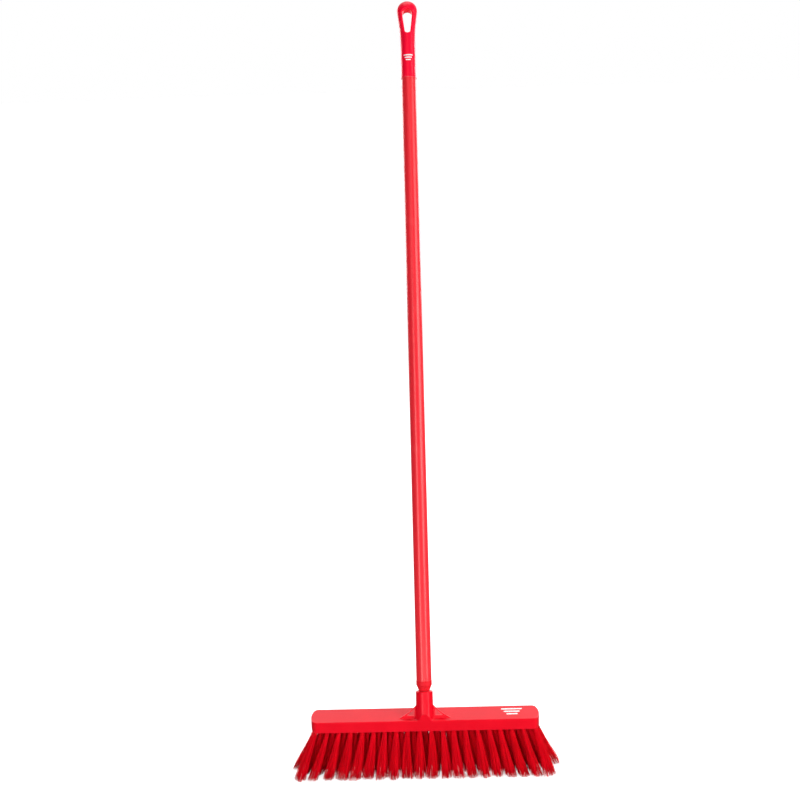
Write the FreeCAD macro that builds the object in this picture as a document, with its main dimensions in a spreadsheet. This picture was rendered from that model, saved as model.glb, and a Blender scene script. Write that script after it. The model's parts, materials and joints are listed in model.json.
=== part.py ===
import FreeCAD, Part
import math
import os
import re
import Sketcher
from FreeCAD import Placement, Rotation, Vector

# Push broom: a moulded head with bristle tufts drilled in and a leaning threaded socket, and a
# tubular handle that screws into it. Millimetres. X runs along the head, -Y is its front, +Z is up.
# The origin is on the floor under the middle of the head, and the bristle tips stand on Z = 0.

dimensions = {
    # head
    "block_length": 475.0,
    "block_depth": 58.0,
    "block_height": 24.0,
    "block_bottom": 95.0,
    "corner_radius": 10.0,
    "end_radius": 60.0,
    "top_edge_round": 1.6,
    "bottom_edge_round": 0.8,
    # socket and its webs, measured up the leaning axis from the top of the block
    "lean_angle": 19.6,
    "socket_y": -15.0,
    "socket_length": 55.0,
    "socket_root": 14.0,
    "socket_rim_radius": 17.5,
    "socket_base_radius": 18.2,
    "socket_rim_round": 2.6,
    "web_half_span": 53.0,
    "web_rise": 27.0,
    "web_root": 4.0,
    "web_run_out": 8.0,
    "web_thickness": 4.2,
    "web_hollow_radius": 128.0,
    "web_embed": 1.0,
    "window_inset": 21.6,
    "window_sill": 5.0,
    "window_span": 17.0,
    "window_rise": 13.6,
    "window_corner": 1.2,
    "socket_fillet": 4.0,
    # screw joint, measured up the same axis from the rim of the socket
    "thread_pitch": 5.0,
    "thread_core_radius": 9.6,
    "thread_depth": 1.6,
    "thread_foot_width": 3.0,
    "thread_crest_width": 1.6,
    "thread_play": 0.35,
    "thread_drop": 30.0,
    "thread_length": 25.0,
    "thread_embed": 0.3,
    "groove_length": 40.0,
    "shank_length": 35.0,
    "shank_chamfer": 1.2,
    "bore_depth": 38.0,
    "bore_run_out": 8.0,
    "bore_chamfer": 1.8,
    # bristles and the steel anchors that hold them
    "hole_radius": 4.4,
    "hole_depth": 14.0,
    "long_row_tufts": 20,
    "tuft_pitch": 23.8,
    "row_pitch": 12.0,
    "row_splay": 12.0,
    "end_splay": 44.0,
    "end_splay_loss": 7.0,
    "tuft_tip_radius": 10.5,
    "tuft_root_radius": 4.15,
    "tuft_embed": 8.0,
    "anchor_width": 7.2,
    "anchor_thickness": 0.5,
    "anchor_height": 2.4,
    "anchor_gap": 0.4,
    # handle, measured up its axis from the rim of the socket
    "handle_length": 1475.0,
    "tube_radius": 15.75,
    "sleeve_wall": 1.2,
    "core_wall": 1.4,
    "running_gap": 0.1,
    "neck_height": 0.3,
    "neck_radius": 11.2,
    "waist_height": 6.4,
    "waist_radius": 13.3,
    "collar_start": 12.5,
    "collar_radius": 16.2,
    "sleeve_start": 21.0,
    "end_plug_length": 40.0,
    "dimple_height": 2.4,
    "dimple_turn": 14.0,
    "dimple_radius": 1.4,
    "dimple_tip_radius": 0.3,
    "dimple_depth": 0.8,
    # hanger grip, measured down from the top of the handle
    "grip_length": 172.0,
    "grip_plug_length": 45.0,
    "grip_plug_embed": 1.0,
    "grip_foot_radius": 16.7,
    "grip_neck_radius": 16.3,
    "grip_neck_drop": 112.0,
    "grip_swell_radius": 16.6,
    "grip_swell_depth": 16.0,
    "grip_swell_drop": 83.0,
    "grip_fork_radius": 17.9,
    "grip_fork_depth": 15.7,
    "grip_fork_drop": 61.5,
    "eye_flank_radius": 20.1,
    "eye_flank_depth": 15.5,
    "eye_flank_drop": 42.0,
    "eye_radius": 22.3,
    "eye_half_depth": 15.4,
    "eye_hole_crown_radius": 10.4,
    "eye_hole_crown_drop": 30.5,
    "eye_hole_foot_radius": 6.0,
    "eye_hole_foot_drop": 67.5,
    "eye_lip_round": 3.0,
    "grip_foot_round": 0.6,
}

doc = FreeCAD.newDocument("push_broom")
sheet = doc.addObject("Spreadsheet::Sheet", "Dims")
for row, (alias, value) in enumerate(dimensions.items(), start=1):
    sheet.set(f"A{row}", alias)
    sheet.set(f"B{row}", str(value))
    sheet.setAlias(f"B{row}", alias)
doc.recompute()


def size(alias):
    """One of the sheet's cells as a number, or a sum of cells."""
    return float(sheet.evalExpression(alias))


def bind(item, path, expression):
    """Bind a property to the sheet. Each word of the expression is the alias of a cell."""
    item.setExpression(path, re.sub(r"\b([a-z]\w*)\b", r"Dims.\1", expression))


def add(kind, name, **expressions):
    """A document object whose properties are bound to the sheet."""
    item = doc.addObject(kind, name)
    for path, expression in expressions.items():
        bind(item, path, expression)
    return item


def cut(name, base, tool):
    item = doc.addObject("Part::Cut", name)
    item.Base, item.Tool = base, tool
    return item


def fuse(name, *shapes):
    item = doc.addObject("Part::MultiFuse", name)
    item.Shapes = list(shapes)
    return item


def rounded(name, base, radius, wanted):
    """Round the edges that a test picks out."""
    doc.recompute()
    item = doc.addObject("Part::Fillet", name)
    item.Base = base
    reach = size(radius)
    item.Edges = [(i, reach, reach) for i, edge in enumerate(base.Shape.Edges, start=1) if wanted(edge)]
    return item


def centre_near(edge, point):
    return edge.Closed and (edge.CenterOfMass - point).Length < 1e-3


def feature(name, shape):
    item = doc.addObject("Part::Feature", name)
    item.Shape = shape
    return item


def add_sketch(body, name, role):
    sketch = body.newObject("Sketcher::SketchObject", name)
    plane = next(f for f in body.Origin.OriginFeatures if f.Role == role)
    sketch.AttachmentSupport = [(plane, "")]
    sketch.MapMode = "FlatFace"
    return sketch


def dimension(sketch, kind, places, expression):
    """Add a dimension to a sketch and bind it to the sheet."""
    number = sketch.addConstraint(Sketcher.Constraint(kind, *places, size(expression)))
    bind(sketch, f"Constraints[{number}]", expression)


def corner(sketch, line, across, up):
    """Fix where a line starts, by two expressions. An expression of 0 puts it on that axis."""
    for kind, expression, axis_line in (("DistanceX", across, -2), ("DistanceY", up, -1)):
        if expression == "0":
            sketch.addConstraint(Sketcher.Constraint("PointOnObject", line, 1, axis_line))
        else:
            dimension(sketch, kind, (-1, 1, line, 1), expression)


def polygon(sketch, corners):
    """A closed outline of straight lines, its corners given by pairs of expressions."""
    points = [Vector(size(across), size(up), 0) for across, up in corners]
    count = len(corners)
    for i in range(count):
        sketch.addGeometry(Part.LineSegment(points[i], points[(i + 1) % count]), False)
    for i in range(count):
        sketch.addConstraint(Sketcher.Constraint("Coincident", i, 2, (i + 1) % count, 1))
    for i, (across, up) in enumerate(corners):
        corner(sketch, i, across, up)


def revolved(name, corners):
    """A body turned about its own Z axis from an outline of (radius, height) corners."""
    body = doc.addObject("PartDesign::Body", name)
    sketch = add_sketch(body, f"{name}_outline", "XZ_Plane")
    polygon(sketch, corners)
    turn = body.newObject("PartDesign::Revolution", f"{name}_turn")
    turn.Profile = sketch
    turn.ReferenceAxis = (sketch, ["V_Axis"])
    turn.Angle = 360
    body.Tip = turn
    return body


lean = math.radians(size("lean_angle"))
axis = Vector(0, math.sin(lean), math.cos(lean))
block_top = size("block_bottom + block_height")
socket_foot = Vector(0, size("socket_y"), block_top)
rim_centre = socket_foot + axis * size("socket_length")
leaning = Rotation(Vector(1, 0, 0), -size("lean_angle"))
on_socket = Placement(socket_foot, leaning)
on_handle = Placement(rim_centre, leaning)


# --- head ---


def block_plate():
    """The flat block: long straight sides, round corners and slightly bulged ends."""
    body = doc.addObject("PartDesign::Body", "block_plate")
    sketch = add_sketch(body, "block_outline", "XY_Plane")
    bind(sketch, "AttachmentOffset.Base.z", "block_bottom")
    half, side = size("block_length / 2"), size("block_depth / 2")
    small, large = size("corner_radius"), size("end_radius")
    end_centre = half - large
    reach = math.sqrt((large - small) ** 2 - (side - small) ** 2)
    corner_x, corner_y = end_centre + reach, side - small
    meet = math.atan2(corner_y, reach)
    quarter = math.pi / 2

    def arc(x, y, radius, start, end):
        circle = Part.Circle(Vector(x, y, 0), Vector(0, 0, 1), radius)
        sketch.addGeometry(Part.ArcOfCircle(circle, start, end), False)

    # anticlockwise from the right end; every piece meets the next one smoothly
    arc(end_centre, 0, large, -meet, meet)
    arc(corner_x, corner_y, small, meet, quarter)
    sketch.addGeometry(Part.LineSegment(Vector(corner_x, side, 0), Vector(-corner_x, side, 0)), False)
    arc(-corner_x, corner_y, small, quarter, math.pi - meet)
    arc(-end_centre, 0, large, math.pi - meet, math.pi + meet)
    arc(-corner_x, -corner_y, small, math.pi + meet, 3 * quarter)
    sketch.addGeometry(Part.LineSegment(Vector(-corner_x, -side, 0), Vector(corner_x, -side, 0)), False)
    arc(corner_x, -corner_y, small, 3 * quarter, 4 * quarter - meet)
    pieces = 8
    for i in range(pieces):
        sketch.addConstraint(Sketcher.Constraint("Tangent", i, 2, (i + 1) % pieces, 1))
    for i in (2, 6):
        sketch.addConstraint(Sketcher.Constraint("Horizontal", i))
    for i in (3, 5, 7):
        sketch.addConstraint(Sketcher.Constraint("Equal", 1, i))
    sketch.addConstraint(Sketcher.Constraint("Equal", 0, 4))
    for i in (0, 4):
        sketch.addConstraint(Sketcher.Constraint("PointOnObject", i, 3, -1))
    dimension(sketch, "Radius", (1,), "corner_radius")
    dimension(sketch, "Radius", (0,), "end_radius")
    dimension(sketch, "DistanceY", (6, 1, 2, 1), "block_depth")
    dimension(sketch, "DistanceY", (-1, 1, 2, 1), "block_depth / 2")
    dimension(sketch, "DistanceX", (-1, 1, 0, 3), "block_length / 2 - end_radius")
    dimension(sketch, "DistanceX", (4, 3, -1, 1), "block_length / 2 - end_radius")

    pad = body.newObject("PartDesign::Pad", "block_pad")
    pad.Profile = sketch
    bind(pad, "Length", "block_height")
    body.Tip = pad
    return body


def socket_boss():
    """The leaning round socket, its seam turned to the back, with a rounded rim."""
    boss = add(
        "Part::Cone",
        "socket_cone",
        Radius1="socket_base_radius",
        Radius2="socket_rim_radius",
        Height="socket_root + socket_length",
    )
    foot = socket_foot - axis * size("socket_root")
    boss.Placement = Placement(foot, leaning * Rotation(Vector(0, 0, 1), 90))
    return rounded("socket_boss", boss, "socket_rim_round", lambda edge: centre_near(edge, rim_centre))


def socket_webs():
    """Two webs in the plane of the socket's axis. Their hollow top edge runs out into the block."""
    body = doc.addObject("PartDesign::Body", "socket_webs")
    sketch = add_sketch(body, "web_outline", "XZ_Plane")
    foot = Vector(size("web_half_span + web_run_out"), -size("web_root"), 0)
    head = Vector(size("socket_rim_radius - web_embed"), size("web_rise"), 0)
    slope = head - foot
    radius, chord = size("web_hollow_radius"), slope.Length
    sag = radius - math.sqrt(radius**2 - chord**2 / 4)
    middle = (foot + head) / 2 + Vector(-slope.y, slope.x, 0) / chord * sag
    inner_foot, inner_head = Vector(0, foot.y, 0), Vector(0, head.y, 0)
    sketch.addGeometry(Part.LineSegment(inner_foot, foot), False)
    sketch.addGeometry(Part.Arc(foot, middle, head), False)
    sketch.addGeometry(Part.LineSegment(head, inner_head), False)
    sketch.addGeometry(Part.LineSegment(inner_head, inner_foot), False)
    # the hollow edge is drawn clockwise, so its own end is the web's foot
    for ends in ((0, 2, 1, 2), (1, 1, 2, 1), (2, 2, 3, 1), (3, 2, 0, 1)):
        sketch.addConstraint(Sketcher.Constraint("Coincident", *ends))
    for i in (0, 2):
        sketch.addConstraint(Sketcher.Constraint("Horizontal", i))
    for end in (1, 2):
        sketch.addConstraint(Sketcher.Constraint("PointOnObject", 3, end, -2))
    dimension(sketch, "DistanceX", (-1, 1, 0, 2), "web_half_span + web_run_out")
    dimension(sketch, "DistanceX", (-1, 1, 2, 1), "socket_rim_radius - web_embed")
    dimension(sketch, "DistanceY", (-1, 1, 2, 1), "web_rise")
    dimension(sketch, "DistanceY", (0, 1, -1, 1), "web_root")
    dimension(sketch, "Radius", (1,), "web_hollow_radius")
    pad = body.newObject("PartDesign::Pad", "web_pad")
    pad.Profile = sketch
    pad.Midplane = True
    bind(pad, "Length", "web_thickness")
    doc.recompute()
    both = body.newObject("PartDesign::Mirrored", "both_webs")
    both.Originals = [pad]
    plane = next(f for f in body.Origin.OriginFeatures if f.Role == "YZ_Plane")
    both.MirrorPlane = (plane, [""])
    body.Tip = both
    body.Placement = on_socket
    return body


def web_windows():
    """The three-cornered windows through the webs, which leave a frame round each of them."""
    inset, sill = size("window_inset"), size("window_sill")
    start = Vector(inset, -2 * size("web_thickness"), sill)
    corners = [start, start + Vector(size("window_span"), 0, 0), start + Vector(0, 0, size("window_rise"))]
    outline = Part.Face(Part.makePolygon(corners + corners[:1]))
    window = outline.extrude(Vector(0, 4 * size("web_thickness"), 0))
    through = [edge for edge in window.Edges if edge.BoundBox.YLength > size("web_thickness")]
    window = window.makeFillet(size("window_corner"), through)
    other = window.mirror(Vector(0, 0, 0), Vector(1, 0, 0))
    windows = feature("web_windows", Part.makeCompound([window, other]))
    windows.Placement = on_socket
    return windows


def block_blank():
    """Plate, socket and webs in one, with a fillet at the socket's foot and a flush front."""
    front, bottom = -size("block_depth / 2"), size("block_bottom")
    reach = size("web_half_span + 2 * web_run_out")
    # the plate is carried on past its front face while the fillet is made, and then trimmed back
    apron = add("Part::Box", "apron", Width="block_depth", Height="block_height")
    apron.Length = 2 * reach
    apron.Placement = Placement(Vector(-reach, 2 * front, bottom), Rotation())
    solid = fuse("plate_and_socket", block_plate(), apron, socket_boss(), socket_webs())
    solid.Refine = True
    slack, loose = 1.0, 0.01

    def level_with_top(box):
        return box.ZMin > block_top - loose and box.ZMax < block_top + loose

    def at_foot(edge):
        box = edge.BoundBox
        inner, outer = sorted((abs(box.XMin), abs(box.XMax)))
        if outer > reach - loose or box.YMin < 2 * front + slack:
            return False
        if level_with_top(box):
            return box.YMax < -front - slack
        beside = inner > size("socket_rim_radius") - 2 * slack and outer < size("socket_base_radius") + slack
        rise = size("web_rise")
        return beside and box.ZMin > block_top - loose and rise / 2 < box.ZMax - block_top < rise

    filleted = rounded("filleted_socket", solid, "socket_fillet", at_foot)
    trim = add("Part::Box", "front_trim", Width="block_depth", Height="4 * block_height")
    trim.Length = 2 * (reach - front)
    trim.Placement = Placement(Vector(front - reach, 3 * front, bottom - size("block_height")), Rotation())
    trimmed = cut("flush_socket", filleted, trim)

    def on_top_rim(edge):
        box = edge.BoundBox
        on_front = box.YMax < front + loose and box.ZMin > block_top - loose
        outer = max(abs(box.XMin), abs(box.XMax))
        return on_front or level_with_top(box) and outer > size("block_length / 3")

    def on_bottom_rim(edge):
        return edge.BoundBox.ZMax < bottom + loose

    topped = rounded("rounded_top", trimmed, "top_edge_round", on_top_rim)
    edged = rounded("rounded_blank", topped, "bottom_edge_round", on_bottom_rim)
    return cut("block_blank", edged, web_windows())


def thread_ridge(name, grow, length, drop):
    """A helical ridge of the joint's thread. The groove that takes it is the same, grown all round."""
    turns = {"Pitch": "thread_pitch", "Height": length, "Radius": "thread_core_radius"}
    helix = add("Part::Helix", f"{name}_helix", **turns)
    profile = doc.addObject("Part::Feature", f"{name}_profile")
    inner = size("thread_core_radius - thread_embed")
    outer = size("thread_core_radius + thread_depth") + grow
    foot, crest = size("thread_foot_width") / 2 + grow, size("thread_crest_width") / 2 + grow
    ends = ((inner, -foot), (outer, -crest), (outer, crest), (inner, foot), (inner, -foot))
    profile.Shape = Part.makePolygon([Vector(radius, 0, up) for radius, up in ends])
    ridge = doc.addObject("Part::Sweep", name)
    ridge.Sections, ridge.Spine = [profile], (helix, [])
    ridge.Solid, ridge.Frenet = True, True
    ridge.Placement = on_handle * Placement(Vector(0, 0, -drop), Rotation())
    return ridge


def threaded_bore():
    """What is cut from the socket along its axis: a plain bore with the groove of the thread."""
    wall = "thread_core_radius + thread_play"
    outline = (("0", "-bore_depth"), (wall, "-bore_depth"), (wall, "bore_run_out"), ("0", "bore_run_out"))
    bore = revolved("bore_core", outline)
    bore.Placement = on_handle
    drop = size("thread_drop + thread_pitch")
    groove = thread_ridge("bore_groove", size("thread_play"), "groove_length", drop)
    return fuse("threaded_bore", bore, groove)


def bore_mouth():
    """The chamfer at the mouth of the bore."""
    mouth = add(
        "Part::Cone",
        "bore_mouth",
        Radius1="thread_core_radius + thread_play - bore_chamfer",
        Radius2="thread_core_radius + thread_play + 2 * bore_chamfer",
        Height="3 * bore_chamfer",
    )
    mouth.Placement = on_handle * Placement(Vector(0, 0, -2 * size("bore_chamfer")), Rotation())
    return mouth


def tuft_row(number):
    """Where the tufts of a row enter the block and where their tips stand. Rows run front to back."""
    offset = number - 3
    staggered = offset % 2
    count = int(size("long_row_tufts")) - staggered
    half_run = size("tuft_pitch") * (size("long_row_tufts") - 1) / 2
    spread = 1 + (size("end_splay") - size("end_splay_loss") * abs(offset)) / half_run
    for i in range(count):
        x = (i - (count - 1) / 2) * size("tuft_pitch")
        root = Vector(x, offset * size("row_pitch"), size("block_bottom"))
        yield root, Vector(x * spread, offset * size("row_pitch + row_splay"), 0)


def tuft_holes():
    """The drilled holes, each along its own tuft."""
    drills = []
    below = 3.0
    for number in rows:
        for root, tip in tuft_row(number):
            way = (root - tip).normalize()
            length = below + size("hole_depth")
            drills.append(Part.makeCylinder(size("hole_radius"), length, root - way * below, way))
    return feature("tuft_holes", Part.makeCompound(drills))


def broom_block():
    """The head's moulding: the blank, bored and threaded for the handle and drilled for the tufts."""
    threaded = cut("block_threaded", block_blank(), threaded_bore())
    bored = cut("block_bored", threaded, bore_mouth())
    return cut("broom_block", bored, tuft_holes())


def bundle(foot, top, foot_radius, top_radius):
    """A straight many-sided bundle between two level ends."""
    sides = 12
    rings = [
        [
            centre + Vector(math.cos(turn), math.sin(turn), 0) * radius
            for turn in (2 * math.pi * i / sides for i in range(sides))
        ]
        for centre, radius in ((foot, foot_radius), (top, top_radius))
    ]
    low, high = rings
    outlines = [low, high]
    outlines += [[low[i - 1], low[i], high[i], high[i - 1]] for i in range(sides)]
    faces = [Part.Face(Part.makePolygon([*outline, outline[0]])) for outline in outlines]
    solid = Part.Solid(Part.Shell(faces))
    solid.fixTolerance(1e-6)
    return solid


def tufts(number):
    """One row of bristle tufts, each a bundle that opens from its hole down to the floor."""
    tip_radius, root_radius = size("tuft_tip_radius"), size("tuft_root_radius")
    bundles = []
    for root, tip in tuft_row(number):
        embed = size("tuft_embed") / root.z
        top = root + (root - tip) * embed
        top_radius = root_radius - (tip_radius - root_radius) * embed
        bundles.append(bundle(tip, top, tip_radius, top_radius))
    return feature(f"tuft_row_{number}", Part.makeCompound(bundles))


def anchors(number):
    """The steel plate at the bottom of each hole, across the fold of the bristles."""
    wide, thick, high = size("anchor_width"), size("anchor_thickness"), size("anchor_height")
    plates = []
    for root, tip in tuft_row(number):
        way = (root - tip).normalize()
        plate = Part.makeBox(wide, thick, high, Vector(-wide / 2, -thick / 2, -high))
        foot = root + way * size("hole_depth - anchor_gap")
        plate.Placement = Placement(foot, Rotation(Vector(0, 0, 1), way))
        plates.append(plate)
    return feature(f"anchor_row_{number}", Part.makeCompound(plates))


# --- handle ---


def handle_tube():
    """The plain aluminium tube that carries the handle, inside its plastic sleeve."""
    outer = "tube_radius - sleeve_wall - running_gap"
    inner = f"{outer} - core_wall"
    start = "sleeve_start + running_gap"
    end = "handle_length - grip_length - running_gap"
    tube = revolved("handle_tube", ((inner, start), (outer, start), (outer, end), (inner, end)))
    tube.Placement = on_handle
    return tube


def handle_sleeve():
    """The plastic sleeve, with the small dimple that fixes it to the threaded end."""
    inner, outer = "tube_radius - sleeve_wall", "tube_radius"
    start, end = "sleeve_start", "handle_length - grip_length"
    sleeve = revolved("sleeve_tube", ((inner, start), (outer, start), (outer, end), (inner, end)))
    sleeve.Placement = on_handle
    dimple = add(
        "Part::Cone",
        "dimple",
        Radius1="dimple_radius",
        Radius2="dimple_tip_radius",
        Height="dimple_depth",
    )
    turn = Rotation(Vector(0, 0, 1), size("dimple_turn"))
    front = Placement(Vector(0, -size("tube_radius"), 0), Rotation(Vector(1, 0, 0), -90))
    lift = Placement(Vector(0, 0, size("sleeve_start + dimple_height")), Rotation())
    dimple.Placement = on_handle * lift * Placement(Vector(), turn) * front
    return cut("handle_sleeve", sleeve, dimple)


def thread_end():
    """The end fitting: a threaded shank, a cone up to a collar, and a plug inside the tube."""
    plug = "tube_radius - sleeve_wall - core_wall - 2 * running_gap"
    shank = revolved(
        "end_shank",
        (
            ("0", "-shank_length"),
            ("thread_core_radius - shank_chamfer", "-shank_length"),
            ("thread_core_radius", "shank_chamfer - shank_length"),
            ("thread_core_radius", "neck_height"),
            ("neck_radius", "neck_height"),
            ("waist_radius", "waist_height"),
            ("collar_radius", "collar_start"),
            ("collar_radius", "sleeve_start"),
            (plug, "sleeve_start"),
            (plug, "sleeve_start + end_plug_length"),
            ("0", "sleeve_start + end_plug_length"),
        ),
    )
    shank.Placement = on_handle
    return fuse("thread_end", shank, thread_ridge("end_thread", 0, "thread_length", size("thread_drop")))


def eye_hole():
    """The teardrop hole of the eye, drawn in the plane across the handle and cut from front to back."""
    body = doc.addObject("PartDesign::Body", "eye_hole")
    sketch = add_sketch(body, "eye_hole_outline", "XZ_Plane")
    top = size("handle_length")
    crown = Vector(0, top - size("eye_hole_crown_drop"), 0)
    foot = Vector(0, top - size("eye_hole_foot_drop"), 0)
    large, small = size("eye_hole_crown_radius"), size("eye_hole_foot_radius")
    flank = math.asin((large - small) / (crown.y - foot.y))
    out = Vector(math.cos(flank), -math.sin(flank), 0)
    across = Vector(-out.x, out.y, 0)
    upward = Vector(0, 0, 1)
    crown_arc = Part.ArcOfCircle(Part.Circle(crown, upward, large), -flank, math.pi + flank)
    sketch.addGeometry(crown_arc, False)
    sketch.addGeometry(Part.LineSegment(crown + across * large, foot + across * small), False)
    foot_arc = Part.ArcOfCircle(Part.Circle(foot, upward, small), math.pi + flank, 2 * math.pi - flank)
    sketch.addGeometry(foot_arc, False)
    sketch.addGeometry(Part.LineSegment(foot + out * small, crown + out * large), False)
    for i in range(4):
        sketch.addConstraint(Sketcher.Constraint("Tangent", i, 2, (i + 1) % 4, 1))
    for i in (0, 2):
        sketch.addConstraint(Sketcher.Constraint("PointOnObject", i, 3, -2))
    dimension(sketch, "Radius", (0,), "eye_hole_crown_radius")
    dimension(sketch, "Radius", (2,), "eye_hole_foot_radius")
    dimension(sketch, "DistanceY", (-1, 1, 0, 3), "handle_length - eye_hole_crown_drop")
    dimension(sketch, "DistanceY", (-1, 1, 2, 3), "handle_length - eye_hole_foot_drop")
    pad = body.newObject("PartDesign::Pad", "eye_hole_pad")
    pad.Profile = sketch
    pad.Midplane = True
    bind(pad, "Length", "4 * eye_half_depth")
    body.Tip = pad
    body.Placement = on_handle
    return body


def hanger_grip():
    """The hand grip: round at its foot, flattening and widening into an eye to hang the broom by."""
    stations = (
        ("grip_foot_radius", "grip_foot_radius", "grip_length"),
        ("grip_neck_radius", "grip_neck_radius", "grip_neck_drop"),
        ("grip_swell_radius", "grip_swell_depth", "grip_swell_drop"),
        ("grip_fork_radius", "grip_fork_depth", "grip_fork_drop"),
        ("eye_flank_radius", "eye_flank_depth", "eye_flank_drop"),
        ("eye_radius", "eye_half_depth", "eye_radius"),
    )
    sections = []
    for i, (width, depth, drop) in enumerate(stations):
        ellipse = add("Part::Ellipse", f"grip_section_{i}", MajorRadius=width, MinorRadius=depth)
        bind(ellipse, "Placement.Base.z", f"handle_length - {drop}")
        sections.append(ellipse)
    loft = doc.addObject("Part::Loft", "grip_loft")
    loft.Sections, loft.Solid = sections, True
    half_axes = {"Radius1": "eye_radius", "Radius2": "eye_radius", "Radius3": "eye_half_depth"}
    dome = add("Part::Ellipsoid", "grip_dome", **half_axes)
    dome.Angle1 = 0
    bind(dome, "Placement.Base.z", "handle_length - eye_radius")
    plug = add(
        "Part::Cylinder",
        "grip_plug",
        Radius="tube_radius - sleeve_wall - core_wall - 2 * running_gap",
        Height="grip_plug_length + grip_plug_embed",
    )
    bind(plug, "Placement.Base.z", "handle_length - grip_length - grip_plug_length")
    solid = fuse("grip_solid", loft, dome, plug)
    solid.Placement = on_handle
    holed = cut("grip_with_eye", solid, eye_hole())
    to_handle = on_handle.inverse()
    foot_height = size("handle_length - grip_length")

    def places(edge):
        """Three points of an edge, seen from the handle. A seam's closed-up end has none."""
        return [to_handle.multVec(point) for point in edge.discretize(3)] if edge.Length > 0.1 else []

    def on_eye_lip(edge):
        inside = [abs(place.x) < size("eye_hole_crown_radius + 0.1") for place in places(edge)]
        proud = [abs(place.y) > size("eye_half_depth / 2") for place in places(edge)]
        return bool(inside) and all(inside) and all(proud)

    def on_foot(edge):
        level = [abs(place.z - foot_height) < 0.01 for place in places(edge)]
        wide = [math.hypot(place.x, place.y) > size("tube_radius") for place in places(edge)]
        return bool(level) and all(level) and all(wide)

    lipped = rounded("grip_eye_lip", holed, "eye_lip_round", on_eye_lip)
    return rounded("hanger_grip", lipped, "grip_foot_round", on_foot)


rows = range(1, 6)
nodes = [broom_block()]
nodes += [tufts(number) for number in rows]
nodes += [anchors(number) for number in rows]
nodes += [handle_tube(), handle_sleeve(), thread_end(), hanger_grip()]
doc.recompute()

for item in doc.Objects:
    if {"Invalid", "Error"} & set(item.State):
        raise RuntimeError(f"{item.Name} failed: {item.State}")
head, thread = doc.getObject("broom_block").Shape, doc.getObject("thread_end").Shape
if head.common(thread).Volume > 0.001:
    raise RuntimeError("the thread cuts into the socket")
for node in nodes:
    node.Label = node.Name
    if node.Shape.isNull() or not node.Shape.isValid():
        raise RuntimeError(f"{node.Label} has no valid shape")

os.makedirs("parts", exist_ok=True)
for node in nodes:
    node.Shape.exportStep(f"parts/{node.Label}.step")
    box = node.Shape.BoundBox
    print(
        f"{node.Label}: {len(node.Shape.Solids)} solids, {node.Shape.Volume / 1000:.1f} cm3,"
        f" x {box.XMin:.1f} to {box.XMax:.1f}, y {box.YMin:.1f} to {box.YMax:.1f},"
        f" z {box.ZMin:.1f} to {box.ZMax:.1f}"
    )
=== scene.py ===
import json
import math
import random

import bpy
from mathutils import Matrix, Vector
from mathutils.bvhtree import BVHTree


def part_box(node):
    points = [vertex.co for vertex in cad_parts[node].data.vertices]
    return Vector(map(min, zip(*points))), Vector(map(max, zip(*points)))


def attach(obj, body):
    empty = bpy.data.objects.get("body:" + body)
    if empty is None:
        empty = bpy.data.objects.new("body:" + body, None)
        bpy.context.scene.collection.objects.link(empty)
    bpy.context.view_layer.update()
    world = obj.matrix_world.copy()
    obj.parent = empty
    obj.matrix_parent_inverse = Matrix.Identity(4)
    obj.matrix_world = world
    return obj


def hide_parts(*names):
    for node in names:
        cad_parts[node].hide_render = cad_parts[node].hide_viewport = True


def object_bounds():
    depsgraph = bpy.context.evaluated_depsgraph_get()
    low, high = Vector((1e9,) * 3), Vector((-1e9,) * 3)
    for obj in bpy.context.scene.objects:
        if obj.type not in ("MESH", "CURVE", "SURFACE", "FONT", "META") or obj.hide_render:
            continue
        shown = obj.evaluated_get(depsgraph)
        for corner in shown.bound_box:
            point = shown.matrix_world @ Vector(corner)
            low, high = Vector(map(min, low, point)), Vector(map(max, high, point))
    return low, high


# The push broom's looks, in metres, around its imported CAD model.

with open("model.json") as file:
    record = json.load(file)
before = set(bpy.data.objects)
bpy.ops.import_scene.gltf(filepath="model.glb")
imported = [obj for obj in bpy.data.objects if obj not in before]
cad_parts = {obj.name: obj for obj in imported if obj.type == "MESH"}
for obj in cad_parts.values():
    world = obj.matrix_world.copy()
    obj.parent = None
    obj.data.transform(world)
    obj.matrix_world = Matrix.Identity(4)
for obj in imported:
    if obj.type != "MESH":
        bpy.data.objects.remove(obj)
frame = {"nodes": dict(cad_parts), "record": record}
cadBox = [list(corner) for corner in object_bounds()]
cadNodes = frame["nodes"]
scene = bpy.context.scene
sideways, backwards, upwards = Vector((1, 0, 0)), Vector((0, 1, 0)), Vector((0, 0, 1))
joints = frame["record"]["behaviour"]["joints"]
screw = next(joint for joint in joints if joint["name"] == "handle_screw")
rimCentre = Vector(screw["pos_m"])  # the middle of the socket's rim
handleAxis = Vector(screw["axis"]).normalized()
handleFront = sideways.cross(handleAxis)  # square to the handle, towards the front
handleLean = math.atan2(handleAxis.y, handleAxis.z)
print("frame loaded, handle leans", round(math.degrees(handleLean), 1), "degrees")


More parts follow.
